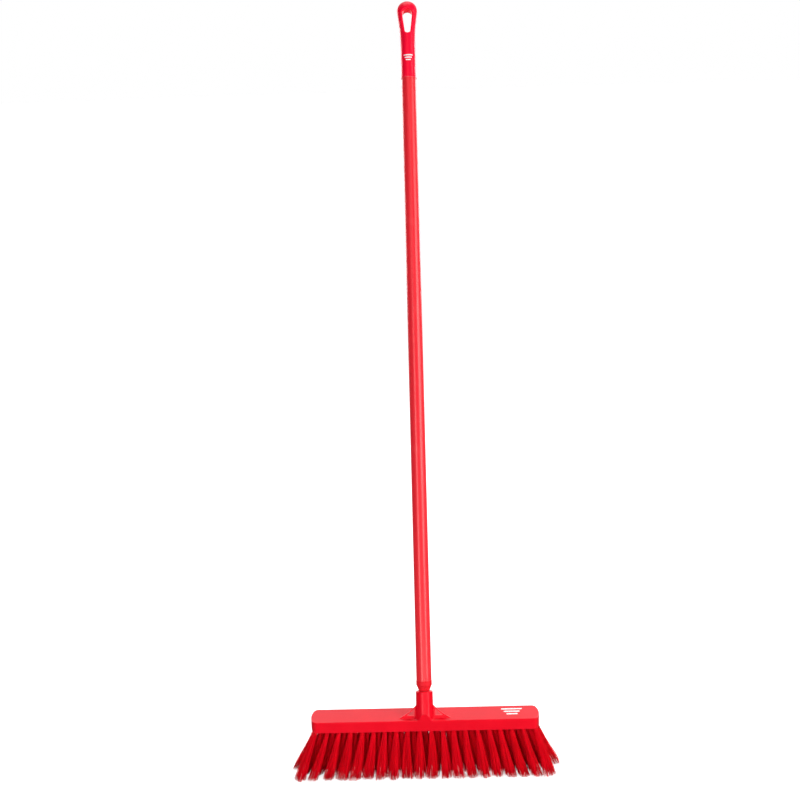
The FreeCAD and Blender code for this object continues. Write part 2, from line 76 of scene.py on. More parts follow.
def mouldedPlastic(name, look):
    # injection-moulded polypropylene: fine spark-eroded grain, cloudy colour, paler edges that are
    # partly wear and partly a painted highlight
    material = bpy.data.materials.new(name)
    material.use_nodes = True
    nodes, links = material.node_tree.nodes, material.node_tree.links
    nodes.clear()

    colourFrame = nodes.new("NodeFrame")
    colourFrame.label = "Colour: pigment clouds and rubbed edges"
    grainFrame = nodes.new("NodeFrame")
    grainFrame.label = "Surface: mould grain and handling scratches"
    glossFrame = nodes.new("NodeFrame")
    glossFrame.label = "Gloss: where hands and floors have polished it"

    place = nodes.new("ShaderNodeTexCoord")
    place.label = "Place on the moulding"
    place.location = (-1700, 0)

    clouds = nodes.new("ShaderNodeTexNoise")
    clouds.label = "Pigment clouds"
    clouds.location = (-1400, 500)
    clouds.parent = colourFrame
    pigment = nodes.new("ShaderNodeValToRGB")
    pigment.label = "Deep to bright pigment"
    pigment.location = (-1150, 500)
    pigment.parent = colourFrame
    softNormal = nodes.new("ShaderNodeBevel")
    softNormal.label = "Normal as if edges were rounder"
    softNormal.location = (-1400, 800)
    softNormal.parent = colourFrame
    trueNormal = nodes.new("ShaderNodeNewGeometry")
    trueNormal.label = "The moulding's own normal"
    trueNormal.location = (-1400, 1050)
    trueNormal.parent = colourFrame
    edgeDot = nodes.new("ShaderNodeVectorMath")
    edgeDot.label = "How far the two part at an edge"
    edgeDot.location = (-1150, 900)
    edgeDot.parent = colourFrame
    edgeBand = nodes.new("ShaderNodeMapRange")
    edgeBand.label = "Narrow band along the edge"
    edgeBand.location = (-900, 900)
    edgeBand.parent = colourFrame
    # the patches break up the pale edge band, which is partly wear and partly a painted highlight
    wearAndHighlightPatches = nodes.new("ShaderNodeTexNoise")
    wearAndHighlightPatches.label = "Rubbed only in patches"
    wearAndHighlightPatches.location = (-1150, 1150)
    wearAndHighlightPatches.parent = colourFrame
    edgeWearAndHighlight = nodes.new("ShaderNodeMath")
    edgeWearAndHighlight.label = "Edge band times patches"
    edgeWearAndHighlight.location = (-650, 950)
    edgeWearAndHighlight.parent = colourFrame
    # paler plastic along the edges, in patches: partly wear, partly a painted highlight in place
    # of light caught by rounded edges
    rubbedAndHighlit = nodes.new("ShaderNodeMix")
    rubbedAndHighlit.label = "Paler plastic on rubbed edges"
    rubbedAndHighlit.location = (-400, 600)
    rubbedAndHighlit.parent = colourFrame

    grain = nodes.new("ShaderNodeTexNoise")
    grain.label = "Fine mould grain"
    grain.location = (-1400, -500)
    grain.parent = grainFrame
    waviness = nodes.new("ShaderNodeTexNoise")
    waviness.label = "Slow sink waviness"
    waviness.location = (-1400, -750)
    waviness.parent = grainFrame
    scratchStretch = nodes.new("ShaderNodeMapping")
    scratchStretch.label = "Scratches drawn out sideways"
    scratchStretch.location = (-1400, -1000)
    scratchStretch.parent = grainFrame
    scratches = nodes.new("ShaderNodeTexNoise")
    scratches.label = "Hairline scratches"
    scratches.location = (-1150, -1000)
    scratches.parent = grainFrame
    scratchLines = nodes.new("ShaderNodeMapRange")
    scratchLines.label = "Only the sharpest scratches"
    scratchLines.location = (-900, -1000)
    scratchLines.parent = grainFrame
    waveBump = nodes.new("ShaderNodeBump")
    waveBump.label = "Sink waviness relief"
    waveBump.location = (-650, -700)
    waveBump.parent = grainFrame
    scratchBump = nodes.new("ShaderNodeBump")
    scratchBump.label = "Scratch relief"
    scratchBump.location = (-400, -850)
    scratchBump.parent = grainFrame
    grainBump = nodes.new("ShaderNodeBump")
    grainBump.label = "Grain relief"
    grainBump.location = (-150, -550)
    grainBump.parent = grainFrame

    polish = nodes.new("ShaderNodeTexNoise")
    polish.label = "Polished and dull patches"
    polish.location = (-1150, -50)
    polish.parent = glossFrame
    roughness = nodes.new("ShaderNodeMapRange")
    roughness.label = "Roughness of the patches"
    roughness.location = (-900, -50)
    roughness.parent = glossFrame

    plastic = nodes.new("ShaderNodeBsdfPrincipled")
    plastic.label = "Red plastic"
    plastic.location = (200, 0)
    output = nodes.new("ShaderNodeOutputMaterial")
    output.label = "Finished moulding"
    output.location = (550, 0)

    clouds.inputs["Scale"].default_value = look["cloudScale"]
    clouds.inputs["Detail"].default_value = 4
    pigment.color_ramp.elements[0].position = 0.35
    pigment.color_ramp.elements[0].color = (*look["deepColour"], 1)
    pigment.color_ramp.elements[1].position = 0.65
    pigment.color_ramp.elements[1].color = (*look["brightColour"], 1)
    softNormal.samples = 4
    softNormal.inputs["Radius"].default_value = look["edgeWidth"]
    edgeDot.operation = "DOT_PRODUCT"
    edgeBand.inputs["From Min"].default_value = 0.998
    edgeBand.inputs["From Max"].default_value = 0.9
    wearAndHighlightPatches.inputs["Scale"].default_value = 38
    edgeWearAndHighlight.operation = "MULTIPLY"
    rubbedAndHighlit.data_type = "RGBA"
    # the pale edge colour is partly a painted highlight on the edges
    rubbedAndHighlit.inputs[7].default_value = (*look["rubbedAndHighlitEdgeColour"], 1)
    grain.inputs["Scale"].default_value = look["grainScale"]
    grain.inputs["Detail"].default_value = 3
    waviness.inputs["Scale"].default_value = 22
    scratchStretch.inputs["Scale"].default_value = look["scratchStretch"]
    scratches.inputs["Scale"].default_value = 60
    scratches.inputs["Detail"].default_value = 1
    scratchLines.inputs["From Min"].default_value = 0.66
    scratchLines.inputs["From Max"].default_value = 0.72
    waveBump.inputs["Strength"].default_value = 0.25
    waveBump.inputs["Distance"].default_value = 0.0006
    scratchBump.invert = True
    scratchBump.inputs["Strength"].default_value = look["scratchStrength"]
    scratchBump.inputs["Distance"].default_value = 0.0001
    grainBump.inputs["Strength"].default_value = look["grainStrength"]
    grainBump.inputs["Distance"].default_value = 0.00012
    polish.inputs["Scale"].default_value = 30
    polish.inputs["Detail"].default_value = 5
    roughness.inputs["To Min"].default_value = look["glossiest"]
    roughness.inputs["To Max"].default_value = look["dullest"]
    plastic.inputs["IOR"].default_value = 1.49
    plastic.inputs["Specular IOR Level"].default_value = look["reflection"]
    plastic.inputs["Specular Tint"].default_value = (*look["sheen"], 1)

    links.new(place.outputs["Object"], clouds.inputs["Vector"])
    links.new(clouds.outputs["Fac"], pigment.inputs["Fac"])
    links.new(softNormal.outputs["Normal"], edgeDot.inputs[0])
    links.new(trueNormal.outputs["Normal"], edgeDot.inputs[1])
    links.new(edgeDot.outputs["Value"], edgeBand.inputs["Value"])
    links.new(place.outputs["Object"], wearAndHighlightPatches.inputs["Vector"])
    links.new(edgeBand.outputs["Result"], edgeWearAndHighlight.inputs[0])
    links.new(wearAndHighlightPatches.outputs["Fac"], edgeWearAndHighlight.inputs[1])
    links.new(edgeWearAndHighlight.outputs["Value"], rubbedAndHighlit.inputs[0])
    links.new(pigment.outputs["Color"], rubbedAndHighlit.inputs[6])
    links.new(rubbedAndHighlit.outputs[2], plastic.inputs["Base Color"])
    links.new(place.outputs["Object"], grain.inputs["Vector"])
    links.new(place.outputs["Object"], waviness.inputs["Vector"])
    links.new(place.outputs["Object"], scratchStretch.inputs["Vector"])
    links.new(scratchStretch.outputs["Vector"], scratches.inputs["Vector"])
    links.new(scratches.outputs["Fac"], scratchLines.inputs["Value"])
    links.new(waviness.outputs["Fac"], waveBump.inputs["Height"])
    links.new(scratchLines.outputs["Result"], scratchBump.inputs["Height"])
    links.new(waveBump.outputs["Normal"], scratchBump.inputs["Normal"])
    links.new(grain.outputs["Fac"], grainBump.inputs["Height"])
    links.new(scratchBump.outputs["Normal"], grainBump.inputs["Normal"])
    links.new(grainBump.outputs["Normal"], plastic.inputs["Normal"])
    links.new(place.outputs["Object"], polish.inputs["Vector"])
    links.new(polish.outputs["Fac"], roughness.inputs["Value"])
    links.new(roughness.outputs["Result"], plastic.inputs["Roughness"])
    links.new(plastic.outputs["BSDF"], output.inputs["Surface"])
    return material


def extrudedPlastic(name, look):
    # the sleeve drawn over the tube: faint lines along its length and a satin skin
    material = bpy.data.materials.new(name)
    material.use_nodes = True
    nodes, links = material.node_tree.nodes, material.node_tree.links
    nodes.clear()

    colourFrame = nodes.new("NodeFrame")
    colourFrame.label = "Colour: drawn streaks and hand marks"
    reliefFrame = nodes.new("NodeFrame")
    reliefFrame.label = "Surface: draw lines, pebbling and nicks"
    glossFrame = nodes.new("NodeFrame")
    glossFrame.label = "Gloss: handled and unhandled lengths"

    place = nodes.new("ShaderNodeTexCoord")
    place.label = "Place on the sleeve"
    place.location = (-1900, 0)
    upright = nodes.new("ShaderNodeMapping")
    upright.label = "Stand the handle upright"
    upright.location = (-1700, 0)

    streakStretch = nodes.new("ShaderNodeMapping")
    streakStretch.label = "Long along the handle"
    streakStretch.location = (-1400, 500)
    streakStretch.parent = colourFrame
    streaks = nodes.new("ShaderNodeTexNoise")
    streaks.label = "Drawn colour streaks"
    streaks.location = (-1150, 500)
    streaks.parent = colourFrame
    streakColour = nodes.new("ShaderNodeValToRGB")
    streakColour.label = "Deep to bright streaks"
    streakColour.location = (-900, 500)
    streakColour.parent = colourFrame
    handMarks = nodes.new("ShaderNodeTexNoise")
    handMarks.label = "Scuffs left by hands and clips"
    handMarks.location = (-1150, 800)
    handMarks.parent = colourFrame
    handMarkFade = nodes.new("ShaderNodeMapRange")
    handMarkFade.label = "Only a few scuffs"
    handMarkFade.location = (-900, 800)
    handMarkFade.parent = colourFrame
    scuffed = nodes.new("ShaderNodeMix")
    scuffed.label = "Chalky where scuffed"
    scuffed.location = (-500, 600)
    scuffed.parent = colourFrame

    drawLines = nodes.new("ShaderNodeTexNoise")
    drawLines.label = "Fine draw lines"
    drawLines.location = (-1150, -500)
    drawLines.parent = reliefFrame
    pebbling = nodes.new("ShaderNodeTexNoise")
    pebbling.label = "Satin pebbling"
    pebbling.location = (-1150, -800)
    pebbling.parent = reliefFrame
    lineBump = nodes.new("ShaderNodeBump")
    lineBump.label = "Draw line relief"
    lineBump.location = (-700, -500)
    lineBump.parent = reliefFrame
    pebbleBump = nodes.new("ShaderNodeBump")
    pebbleBump.label = "Pebble relief"
    pebbleBump.location = (-400, -700)
    pebbleBump.parent = reliefFrame

    handled = nodes.new("ShaderNodeTexNoise")
    handled.label = "Handled and unhandled"
    handled.location = (-1150, 0)
    handled.parent = glossFrame
    roughness = nodes.new("ShaderNodeMapRange")
    roughness.label = "Satin roughness"
    roughness.location = (-900, 0)
    roughness.parent = glossFrame

    plastic = nodes.new("ShaderNodeBsdfPrincipled")
    plastic.label = "Sleeve plastic"
    plastic.location = (100, 0)
    output = nodes.new("ShaderNodeOutputMaterial")
    output.label = "Finished sleeve"
    output.location = (450, 0)

    upright.inputs["Rotation"].default_value = (handleLean, 0, 0)
    streakStretch.inputs["Scale"].default_value = (1, 1, 0.02)
    streaks.inputs["Scale"].default_value = 240
    streaks.inputs["Detail"].default_value = 3
    streakColour.color_ramp.elements[0].position = 0.3
    streakColour.color_ramp.elements[0].color = (*look["deepColour"], 1)
    streakColour.color_ramp.elements[1].position = 0.7
    streakColour.color_ramp.elements[1].color = (*look["brightColour"], 1)
    handMarks.inputs["Scale"].default_value = 16
    handMarks.inputs["Detail"].default_value = 6
    handMarkFade.inputs["From Min"].default_value = 0.58
    handMarkFade.inputs["From Max"].default_value = 0.8
    handMarkFade.inputs["To Max"].default_value = look["scuffing"]
    scuffed.data_type = "RGBA"
    scuffed.inputs[7].default_value = (*look["scuffColour"], 1)
    drawLines.inputs["Scale"].default_value = 900
    drawLines.inputs["Detail"].default_value = 2
    pebbling.inputs["Scale"].default_value = 1500
    pebbling.inputs["Detail"].default_value = 2
    lineBump.inputs["Strength"].default_value = look["lineStrength"]
    lineBump.inputs["Distance"].default_value = 0.00008
    pebbleBump.inputs["Strength"].default_value = look["pebbleStrength"]
    pebbleBump.inputs["Distance"].default_value = 0.00006
    handled.inputs["Scale"].default_value = 9
    handled.inputs["Detail"].default_value = 4
    roughness.inputs["To Min"].default_value = look["glossiest"]
    roughness.inputs["To Max"].default_value = look["dullest"]
    plastic.inputs["IOR"].default_value = 1.49
    plastic.inputs["Specular IOR Level"].default_value = look["reflection"]
    plastic.inputs["Specular Tint"].default_value = (*look["sheen"], 1)

    links.new(place.outputs["Object"], upright.inputs["Vector"])
    links.new(upright.outputs["Vector"], streakStretch.inputs["Vector"])
    links.new(streakStretch.outputs["Vector"], streaks.inputs["Vector"])
    links.new(streaks.outputs["Fac"], streakColour.inputs["Fac"])
    links.new(upright.outputs["Vector"], handMarks.inputs["Vector"])
    links.new(handMarks.outputs["Fac"], handMarkFade.inputs["Value"])
    links.new(handMarkFade.outputs["Result"], scuffed.inputs[0])
    links.new(streakColour.outputs["Color"], scuffed.inputs[6])
    links.new(scuffed.outputs[2], plastic.inputs["Base Color"])
    links.new(streakStretch.outputs["Vector"], drawLines.inputs["Vector"])
    links.new(upright.outputs["Vector"], pebbling.inputs["Vector"])
    links.new(drawLines.outputs["Fac"], lineBump.inputs["Height"])
    links.new(pebbling.outputs["Fac"], pebbleBump.inputs["Height"])
    links.new(lineBump.outputs["Normal"], pebbleBump.inputs["Normal"])
    links.new(pebbleBump.outputs["Normal"], plastic.inputs["Normal"])
    links.new(upright.outputs["Vector"], handled.inputs["Vector"])
    links.new(handled.outputs["Fac"], roughness.inputs["Value"])
    links.new(roughness.outputs["Result"], plastic.inputs["Roughness"])
    links.new(plastic.outputs["BSDF"], output.inputs["Surface"])
    return material


def bristleFilament(name, look):
    # polyester filament: each one a slightly different red, paler over the last centimetre to the
    # tips
    material = bpy.data.materials.new(name)
    material.use_nodes = True
    nodes, links = material.node_tree.nodes, material.node_tree.links
    nodes.clear()

    colourFrame = nodes.new("NodeFrame")
    colourFrame.label = "Colour: one red per filament, faded tips"
    reliefFrame = nodes.new("NodeFrame")
    reliefFrame.label = "Surface: filament ripple"

    place = nodes.new("ShaderNodeTexCoord")
    place.label = "Place in the row"
    place.location = (-1500, 0)
    oneFilament = nodes.new("ShaderNodeNewGeometry")
    oneFilament.label = "A number for each filament"
    oneFilament.location = (-1500, 400)
    oneFilament.parent = colourFrame
    dye = nodes.new("ShaderNodeValToRGB")
    dye.label = "Dye from deep to bright"
    dye.location = (-1200, 400)
    dye.parent = colourFrame
    height = nodes.new("ShaderNodeSeparateXYZ")
    height.label = "Height above the floor"
    height.location = (-1200, 100)
    height.parent = colourFrame
    tipFade = nodes.new("ShaderNodeMapRange")
    tipFade.label = "Worn over the last centimetre"
    tipFade.location = (-950, 100)
    tipFade.parent = colourFrame
    worn = nodes.new("ShaderNodeMix")
    worn.label = "Paler, scuffed tips"
    worn.location = (-600, 300)
    worn.parent = colourFrame
    ripple = nodes.new("ShaderNodeTexNoise")
    ripple.label = "Ripple along the filament"
    ripple.location = (-950, -300)
    ripple.parent = reliefFrame
    rippleBump = nodes.new("ShaderNodeBump")
    rippleBump.label = "Ripple relief"
    rippleBump.location = (-600, -300)
    rippleBump.parent = reliefFrame
    dust = nodes.new("ShaderNodeMapRange")
    dust.label = "Dull where dust sits"
    dust.location = (-600, -50)
    dust.parent = reliefFrame
    filament = nodes.new("ShaderNodeBsdfPrincipled")
    filament.label = "Filament"
    filament.location = (-200, 0)
    output = nodes.new("ShaderNodeOutputMaterial")
    output.label = "Finished filament"
    output.location = (150, 0)

    dye.color_ramp.elements[0].position = 0.0
    dye.color_ramp.elements[0].color = (*look["deepColour"], 1)
    dye.color_ramp.elements[1].position = 1.0
    dye.color_ramp.elements[1].color = (*look["brightColour"], 1)
    tipFade.inputs["From Min"].default_value = look["wornLength"]
    tipFade.inputs["From Max"].default_value = 0
    tipFade.inputs["To Max"].default_value = look["wornAmount"]
    worn.data_type = "RGBA"
    worn.inputs[7].default_value = (*look["wornColour"], 1)
    ripple.inputs["Scale"].default_value = 700
    rippleBump.inputs["Strength"].default_value = 0.2
    rippleBump.inputs["Distance"].default_value = 0.0001
    dust.inputs["To Min"].default_value = look["glossiest"]
    dust.inputs["To Max"].default_value = look["dullest"]
    filament.inputs["IOR"].default_value = 1.5
    filament.inputs["Specular IOR Level"].default_value = look["reflection"]
    filament.inputs["Specular Tint"].default_value = (*look["sheen"], 1)

    links.new(oneFilament.outputs["Random Per Island"], dye.inputs["Fac"])
    links.new(place.outputs["Object"], height.inputs["Vector"])
    links.new(height.outputs["Z"], tipFade.inputs["Value"])
    links.new(tipFade.outputs["Result"], worn.inputs[0])
    links.new(dye.outputs["Color"], worn.inputs[6])
    links.new(worn.outputs[2], filament.inputs["Base Color"])
    links.new(place.outputs["Object"], ripple.inputs["Vector"])
    links.new(ripple.outputs["Fac"], rippleBump.inputs["Height"])
    links.new(rippleBump.outputs["Normal"], filament.inputs["Normal"])
    links.new(ripple.outputs["Fac"], dust.inputs["Value"])
    links.new(dust.outputs["Result"], filament.inputs["Roughness"])
    links.new(filament.outputs["BSDF"], output.inputs["Surface"])
    return material


def drawnMetal(name, look):
    # drawn tube or wire: brushed lines along one way, small stains
    material = bpy.data.materials.new(name)
    material.use_nodes = True
    nodes, links = material.node_tree.nodes, material.node_tree.links
    nodes.clear()

    colourFrame = nodes.new("NodeFrame")
    colourFrame.label = "Colour: bare metal with light stains"
    brushFrame = nodes.new("NodeFrame")
    brushFrame.label = "Surface: drawing lines"

    place = nodes.new("ShaderNodeTexCoord")
    place.label = "Place on the metal"
    place.location = (-1300, 0)
    alongDraw = nodes.new("ShaderNodeMapping")
    alongDraw.label = "Turn and stretch along the drawing"
    alongDraw.location = (-1100, -200)
    alongDraw.parent = brushFrame
    drawing = nodes.new("ShaderNodeTexNoise")
    drawing.label = "Drawing lines"
    drawing.location = (-850, -200)
    drawing.parent = brushFrame
    drawingBump = nodes.new("ShaderNodeBump")
    drawingBump.label = "Line relief"
    drawingBump.location = (-450, -300)
    drawingBump.parent = brushFrame
    roughness = nodes.new("ShaderNodeMapRange")
    roughness.label = "Roughness of the lines"
    roughness.location = (-450, -50)
    roughness.parent = brushFrame
    stains = nodes.new("ShaderNodeTexNoise")
    stains.label = "Light stains"
    stains.location = (-850, 250)
    stains.parent = colourFrame
    metalColour = nodes.new("ShaderNodeValToRGB")
    metalColour.label = "Clean to stained metal"
    metalColour.location = (-550, 250)
    metalColour.parent = colourFrame
    metal = nodes.new("ShaderNodeBsdfPrincipled")
    metal.label = "Metal"
    metal.location = (-150, 0)
    output = nodes.new("ShaderNodeOutputMaterial")
    output.label = "Finished metal"
    output.location = (200, 0)

    alongDraw.inputs["Rotation"].default_value = look["turn"]
    alongDraw.inputs["Scale"].default_value = look["stretch"]
    drawing.inputs["Scale"].default_value = look["lineScale"]
    drawing.inputs["Detail"].default_value = 3
    drawingBump.inputs["Strength"].default_value = 0.3
    drawingBump.inputs["Distance"].default_value = 0.00005
    roughness.inputs["To Min"].default_value = look["glossiest"]
    roughness.inputs["To Max"].default_value = look["dullest"]
    stains.inputs["Scale"].default_value = 45
    stains.inputs["Detail"].default_value = 5
    metalColour.color_ramp.elements[0].position = 0.35
    metalColour.color_ramp.elements[0].color = (*look["stainedColour"], 1)
    metalColour.color_ramp.elements[1].position = 0.6
    metalColour.color_ramp.elements[1].color = (*look["cleanColour"], 1)
    metal.inputs["Metallic"].default_value = 1

    links.new(place.outputs["Object"], alongDraw.inputs["Vector"])
    links.new(alongDraw.outputs["Vector"], drawing.inputs["Vector"])
    links.new(drawing.outputs["Fac"], drawingBump.inputs["Height"])
    links.new(drawingBump.outputs["Normal"], metal.inputs["Normal"])
    links.new(drawing.outputs["Fac"], roughness.inputs["Value"])
    links.new(roughness.outputs["Result"], metal.inputs["Roughness"])
    links.new(place.outputs["Object"], stains.inputs["Vector"])
    links.new(stains.outputs["Fac"], metalColour.inputs["Fac"])
    links.new(metalColour.outputs["Color"], metal.inputs["Base Color"])
    links.new(metal.outputs["BSDF"], output.inputs["Surface"])
    return material


def printedInk(name, look):
    # pad-printed ink: flat, a little thin and broken at its edges
    material = bpy.data.materials.new(name)
    material.use_nodes = True
    nodes, links = material.node_tree.nodes, material.node_tree.links
    nodes.clear()

    inkFrame = nodes.new("NodeFrame")
    inkFrame.label = "Ink: uneven cover over the red"

    place = nodes.new("ShaderNodeTexCoord")
    place.label = "Place on the print"
    place.location = (-1000, 0)
    cover = nodes.new("ShaderNodeTexNoise")
    cover.label = "Uneven ink cover"
    cover.location = (-750, 100)
    cover.parent = inkFrame
    inkColour = nodes.new("ShaderNodeValToRGB")
    inkColour.label = "Thin ink to full ink"
    inkColour.location = (-500, 100)
    inkColour.parent = inkFrame
    inkRelief = nodes.new("ShaderNodeBump")
    inkRelief.label = "Pad texture"
    inkRelief.location = (-500, -200)
    inkRelief.parent = inkFrame
    roughness = nodes.new("ShaderNodeMapRange")
    roughness.label = "Ink roughness"
    roughness.location = (-500, -400)
    roughness.parent = inkFrame
    ink = nodes.new("ShaderNodeBsdfPrincipled")
    ink.label = "White ink"
    ink.location = (-150, 0)
    output = nodes.new("ShaderNodeOutputMaterial")
    output.label = "Finished print"
    output.location = (200, 0)

    cover.inputs["Scale"].default_value = 900
    cover.inputs["Detail"].default_value = 4
    inkColour.color_ramp.elements[0].position = 0.28
    inkColour.color_ramp.elements[0].color = (*look["thinColour"], 1)
    inkColour.color_ramp.elements[1].position = 0.5
    inkColour.color_ramp.elements[1].color = (*look["fullColour"], 1)
    inkRelief.inputs["Strength"].default_value = 0.2
    inkRelief.inputs["Distance"].default_value = 0.00005
    roughness.inputs["To Min"].default_value = 0.35
    roughness.inputs["To Max"].default_value = 0.5

    links.new(place.outputs["Object"], cover.inputs["Vector"])
    links.new(cover.outputs["Fac"], inkColour.inputs["Fac"])
    links.new(inkColour.outputs["Color"], ink.inputs["Base Color"])
    links.new(cover.outputs["Fac"], inkRelief.inputs["Height"])
    links.new(inkRelief.outputs["Normal"], ink.inputs["Normal"])
    links.new(cover.outputs["Fac"], roughness.inputs["Value"])
    links.new(roughness.outputs["Result"], ink.inputs["Roughness"])
    links.new(ink.outputs["BSDF"], output.inputs["Surface"])
    return material


# each look's pale edge colour is partly wear and partly a painted highlight on rounded edges
blockLook = {
    "deepColour": (0.69, 0.0006, 0.0110),
    "brightColour": (0.75, 0.0010, 0.0130),
    "rubbedAndHighlitEdgeColour": (0.95, 0.040, 0.045),
    "cloudScale": 14,
    "edgeWidth": 0.0012,
    "grainScale": 1400,
    "grainStrength": 0.25,
    "scratchStretch": (0.15, 1, 1),
    "scratchStrength": 0.12,
    "glossiest": 0.24,
    "dullest": 0.36,
    "reflection": 0.45,
    "sheen": (1, 0.32, 0.36),
}
gripLook = {
    "deepColour": (0.89, 0.0015, 0.0290),
    "brightColour": (0.95, 0.0025, 0.0360),
    "rubbedAndHighlitEdgeColour": (0.90, 0.050, 0.060),
    "cloudScale": 24,
    "edgeWidth": 0.0012,
    "grainScale": 1800,
    "grainStrength": 0.18,
    "scratchStretch": (1, 1, 0.15),
    "scratchStrength": 0.1,
    "glossiest": 0.24,
    "dullest": 0.36,
    "reflection": 0.5,
    "sheen": (1, 0.4, 0.42),
}
fittingLook = {
    "deepColour": (0.66, 0.0080, 0.0160),
    "brightColour": (0.76, 0.0110, 0.0200),
    "rubbedAndHighlitEdgeColour": (0.86, 0.060, 0.060),
    "cloudScale": 60,
    "edgeWidth": 0.0009,
    "grainScale": 1500,
    "grainStrength": 0.4,
    "scratchStretch": (1, 1, 0.3),
    "scratchStrength": 0.2,
    "glossiest": 0.45,
    "dullest": 0.6,
    "reflection": 0.4,
    "sheen": (1, 0.3, 0.35),
}
sleeveLook = {
    "deepColour": (0.72, 0.014, 0.026),
    "brightColour": (0.80, 0.022, 0.034),
    "scuffColour": (0.88, 0.12, 0.12),
    "scuffing": 0.25,
    "lineStrength": 0.25,
    "pebbleStrength": 0.3,
    "glossiest": 0.26,
    "dullest": 0.34,
    "reflection": 0.5,
    "sheen": (1, 0.8, 0.75),
}
bristleLook = {
    "deepColour": (0.80, 0.0010, 0.0060),
    "brightColour": (0.97, 0.0020, 0.0180),
    "wornColour": (0.85, 0.05, 0.055),
    "wornLength": 0.012,
    "wornAmount": 0.2,
    "glossiest": 0.32,
    "dullest": 0.5,
    "reflection": 0.4,
    "sheen": (1, 0.08, 0.12),
}
aluminiumLook = {
    "stainedColour": (0.60, 0.60, 0.62),
    "cleanColour": (0.80, 0.80, 0.82),
    "turn": (handleLean, 0, 0),
    "stretch": (1, 1, 0.02),
    "lineScale": 900,
    "glossiest": 0.25,
    "dullest": 0.4,
}
steelLook = {
    "stainedColour": (0.42, 0.40, 0.38),
    "cleanColour": (0.62, 0.62, 0.63),
    "turn": (0, 0, 0),
    "stretch": (0.1, 1, 1),
    "lineScale": 1200,
    "glossiest": 0.25,
    "dullest": 0.45,
}
inkLook = {"thinColour": (0.80, 0.55, 0.55), "fullColour": (0.88, 0.86, 0.86)}

blockPlastic = mouldedPlastic("redBlockPlastic", blockLook)
gripPlastic = mouldedPlastic("redGripPlastic", gripLook)
fittingPlastic = mouldedPlastic("redFittingPlastic", fittingLook)
sleevePlastic = extrudedPlastic("redSleevePlastic", sleeveLook)
bristleRed = bristleFilament("redBristle", bristleLook)
aluminium = drawnMetal("tubeAluminium", aluminiumLook)
steel = drawnMetal("stapleSteel", steelLook)
whiteInk = printedInk("whitePrint", inkLook)

nodeMaterials = {
    "broom_block": blockPlastic,
    "hanger_grip": gripPlastic,
    "thread_end": fittingPlastic,
    "handle_sleeve": sleevePlastic,
    "handle_tube": aluminium,
}
for nodeName in cadNodes:
    if nodeName.startswith("anchor_row"):
        nodeMaterials[nodeName] = steel
for nodeName, material in nodeMaterials.items():
    mesh = cadNodes[nodeName].data
    mesh.materials.clear()
    mesh.materials.append(material)
print("materials on", len(nodeMaterials), "moulded and metal nodes")


bristles = {
    "seed": 100,
    "perTuft": 240,
    "thickness": 0.00052,
    "thinToThick": (0.85, 1.1),
    "thinnerAtTip": 0.15,
    "sides": 3,
    "rings": 6,
    "tuftBend": 0.0012,
    "tipBend": 0.6,
    "bow": (0.0004, 0.0006),  # middle and spread of how far a filament bows outwards
    "clumps": 7,
    "clumpJitter": 0.6,
    "clumpShift": 0.0022,
    "clumpLift": 0.0015,
    "wander": 0.0012,
    "strayShare": 0.02,
    "strayShift": 0.0045,
    "unevenTips": 0.0035,
    "tipSpread": 0.4,
    "rootFill": 0.93,
    "tipFill": 1.17,
    "openingCurve": 1.25,
    "endSplay": (-0.007, -0.004, -0.002),  # the front row's left end is bent outwards by use
    "rootGap": 0.007,  # bundles are at least this far apart where they enter the block
}


def bundleEnds(nodeName, rootGap):
    # the middle and radius of each bundle in a row, at its root and at its tips, left to right
    low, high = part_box(nodeName)
    middle = (low[2] + high[2]) / 2
    places = [v.co.copy() for v in cadNodes[nodeName].data.vertices]
    places.sort(key=lambda place: place.x)
    roots = [place for place in places if place.z > middle]
    tips = [place for place in places if place.z < middle]
    gaps = [after.x - before.x for before, after in zip(roots, roots[1:])]
    count = 1 + sum(gap > rootGap for gap in gaps)
    bundles = []
    for i in range(count):
        ends = []
        for level in (roots, tips):
            size = len(level) // count
            ring = level[i * size:(i + 1) * size]
            ringLow = Vector([min(place[j] for place in ring) for j in range(3)])
            ringHigh = Vector([max(place[j] for place in ring) for j in range(3)])
            ends.append(((ringLow + ringHigh) / 2, (ringHigh.x - ringLow.x) / 2))
        bundles.append(ends)
    return bundles


def flatWay(turn):
    # the level direction at this turn
    return Vector((math.cos(turn), math.sin(turn), 0))


def flatThrow(dice, spread):
    # a random level shift, mostly shorter than the spread
    return Vector((dice.gauss(0, 1), dice.gauss(0, 1), 0)) * spread


def turnApart(first, second):
    # how far two turns are from each other, the short way round
    return abs((first - second + math.pi) % (2 * math.pi) - math.pi)


